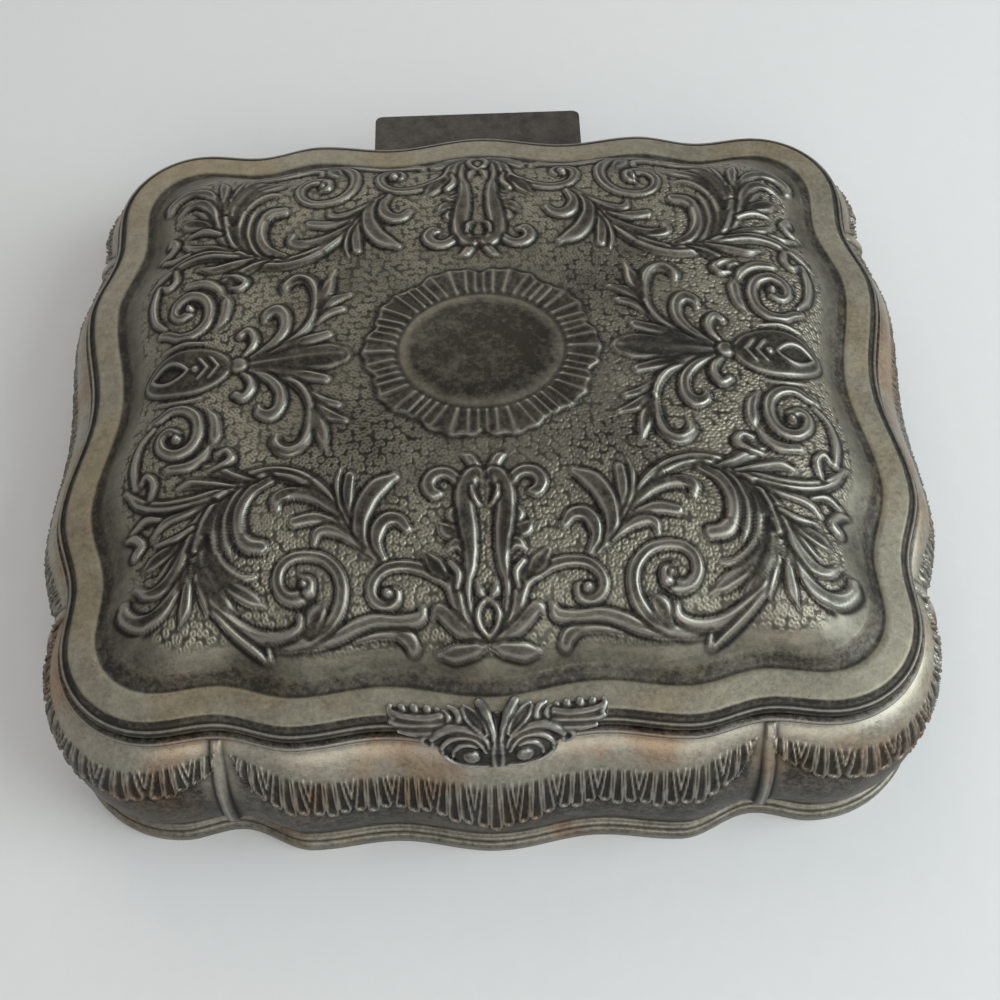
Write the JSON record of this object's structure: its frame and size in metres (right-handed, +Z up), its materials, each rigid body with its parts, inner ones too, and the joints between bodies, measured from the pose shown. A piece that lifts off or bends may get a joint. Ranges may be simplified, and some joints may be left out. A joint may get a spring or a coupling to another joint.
{
  "type": "trinket box",
  "caption": "Metal trinket box with a domed, hinged lid, a bombe body on a stepped foot, a thumb ornament at the front and a velvet-lined inside.",
  "frame": {"origin": "middle of the underside, in the plane that the felt and the foot rest on", "axes": "+Z up, -Y towards the front with the thumb ornament, +X to the right seen from the front"},
  "size_m": [0.137, 0.126, 0.0389],
  "materials": {
    "antiqued_pewter": "satin, darkened in the hollows",
    "dark_pewter": "satin, dark patina",
    "hinge_metal": "satin, dark patina",
    "dark_red_velvet": "short pile",
    "lining_card": "matte paper board",
    "green_felt": "matte felt"
  },
  "bodies": {
    "base": {"body_shell": "antiqued_pewter", "bottom_plate": "antiqued_pewter", "base_felt": "green_felt", "floor_board": "lining_card", "floor_pad": "dark_red_velvet", "wall_lining": "dark_red_velvet", "hinge_body_leaf": "hinge_metal", "hinge_pin": "hinge_metal"},
    "lid": {"lid_shell": "antiqued_pewter", "lid_board": "lining_card", "lid_pad": "dark_red_velvet", "thumb_ornament": "dark_pewter", "hinge_lid_leaf": "hinge_metal"}
  },
  "joints": [
    {"name": "lid_hinge", "type": "hinge", "parent": "base", "child": "lid", "pos_m": [0, 0.0585, 0.0205], "axis": [-1, 0, 0], "range_deg": [0, 105]}
  ]
}
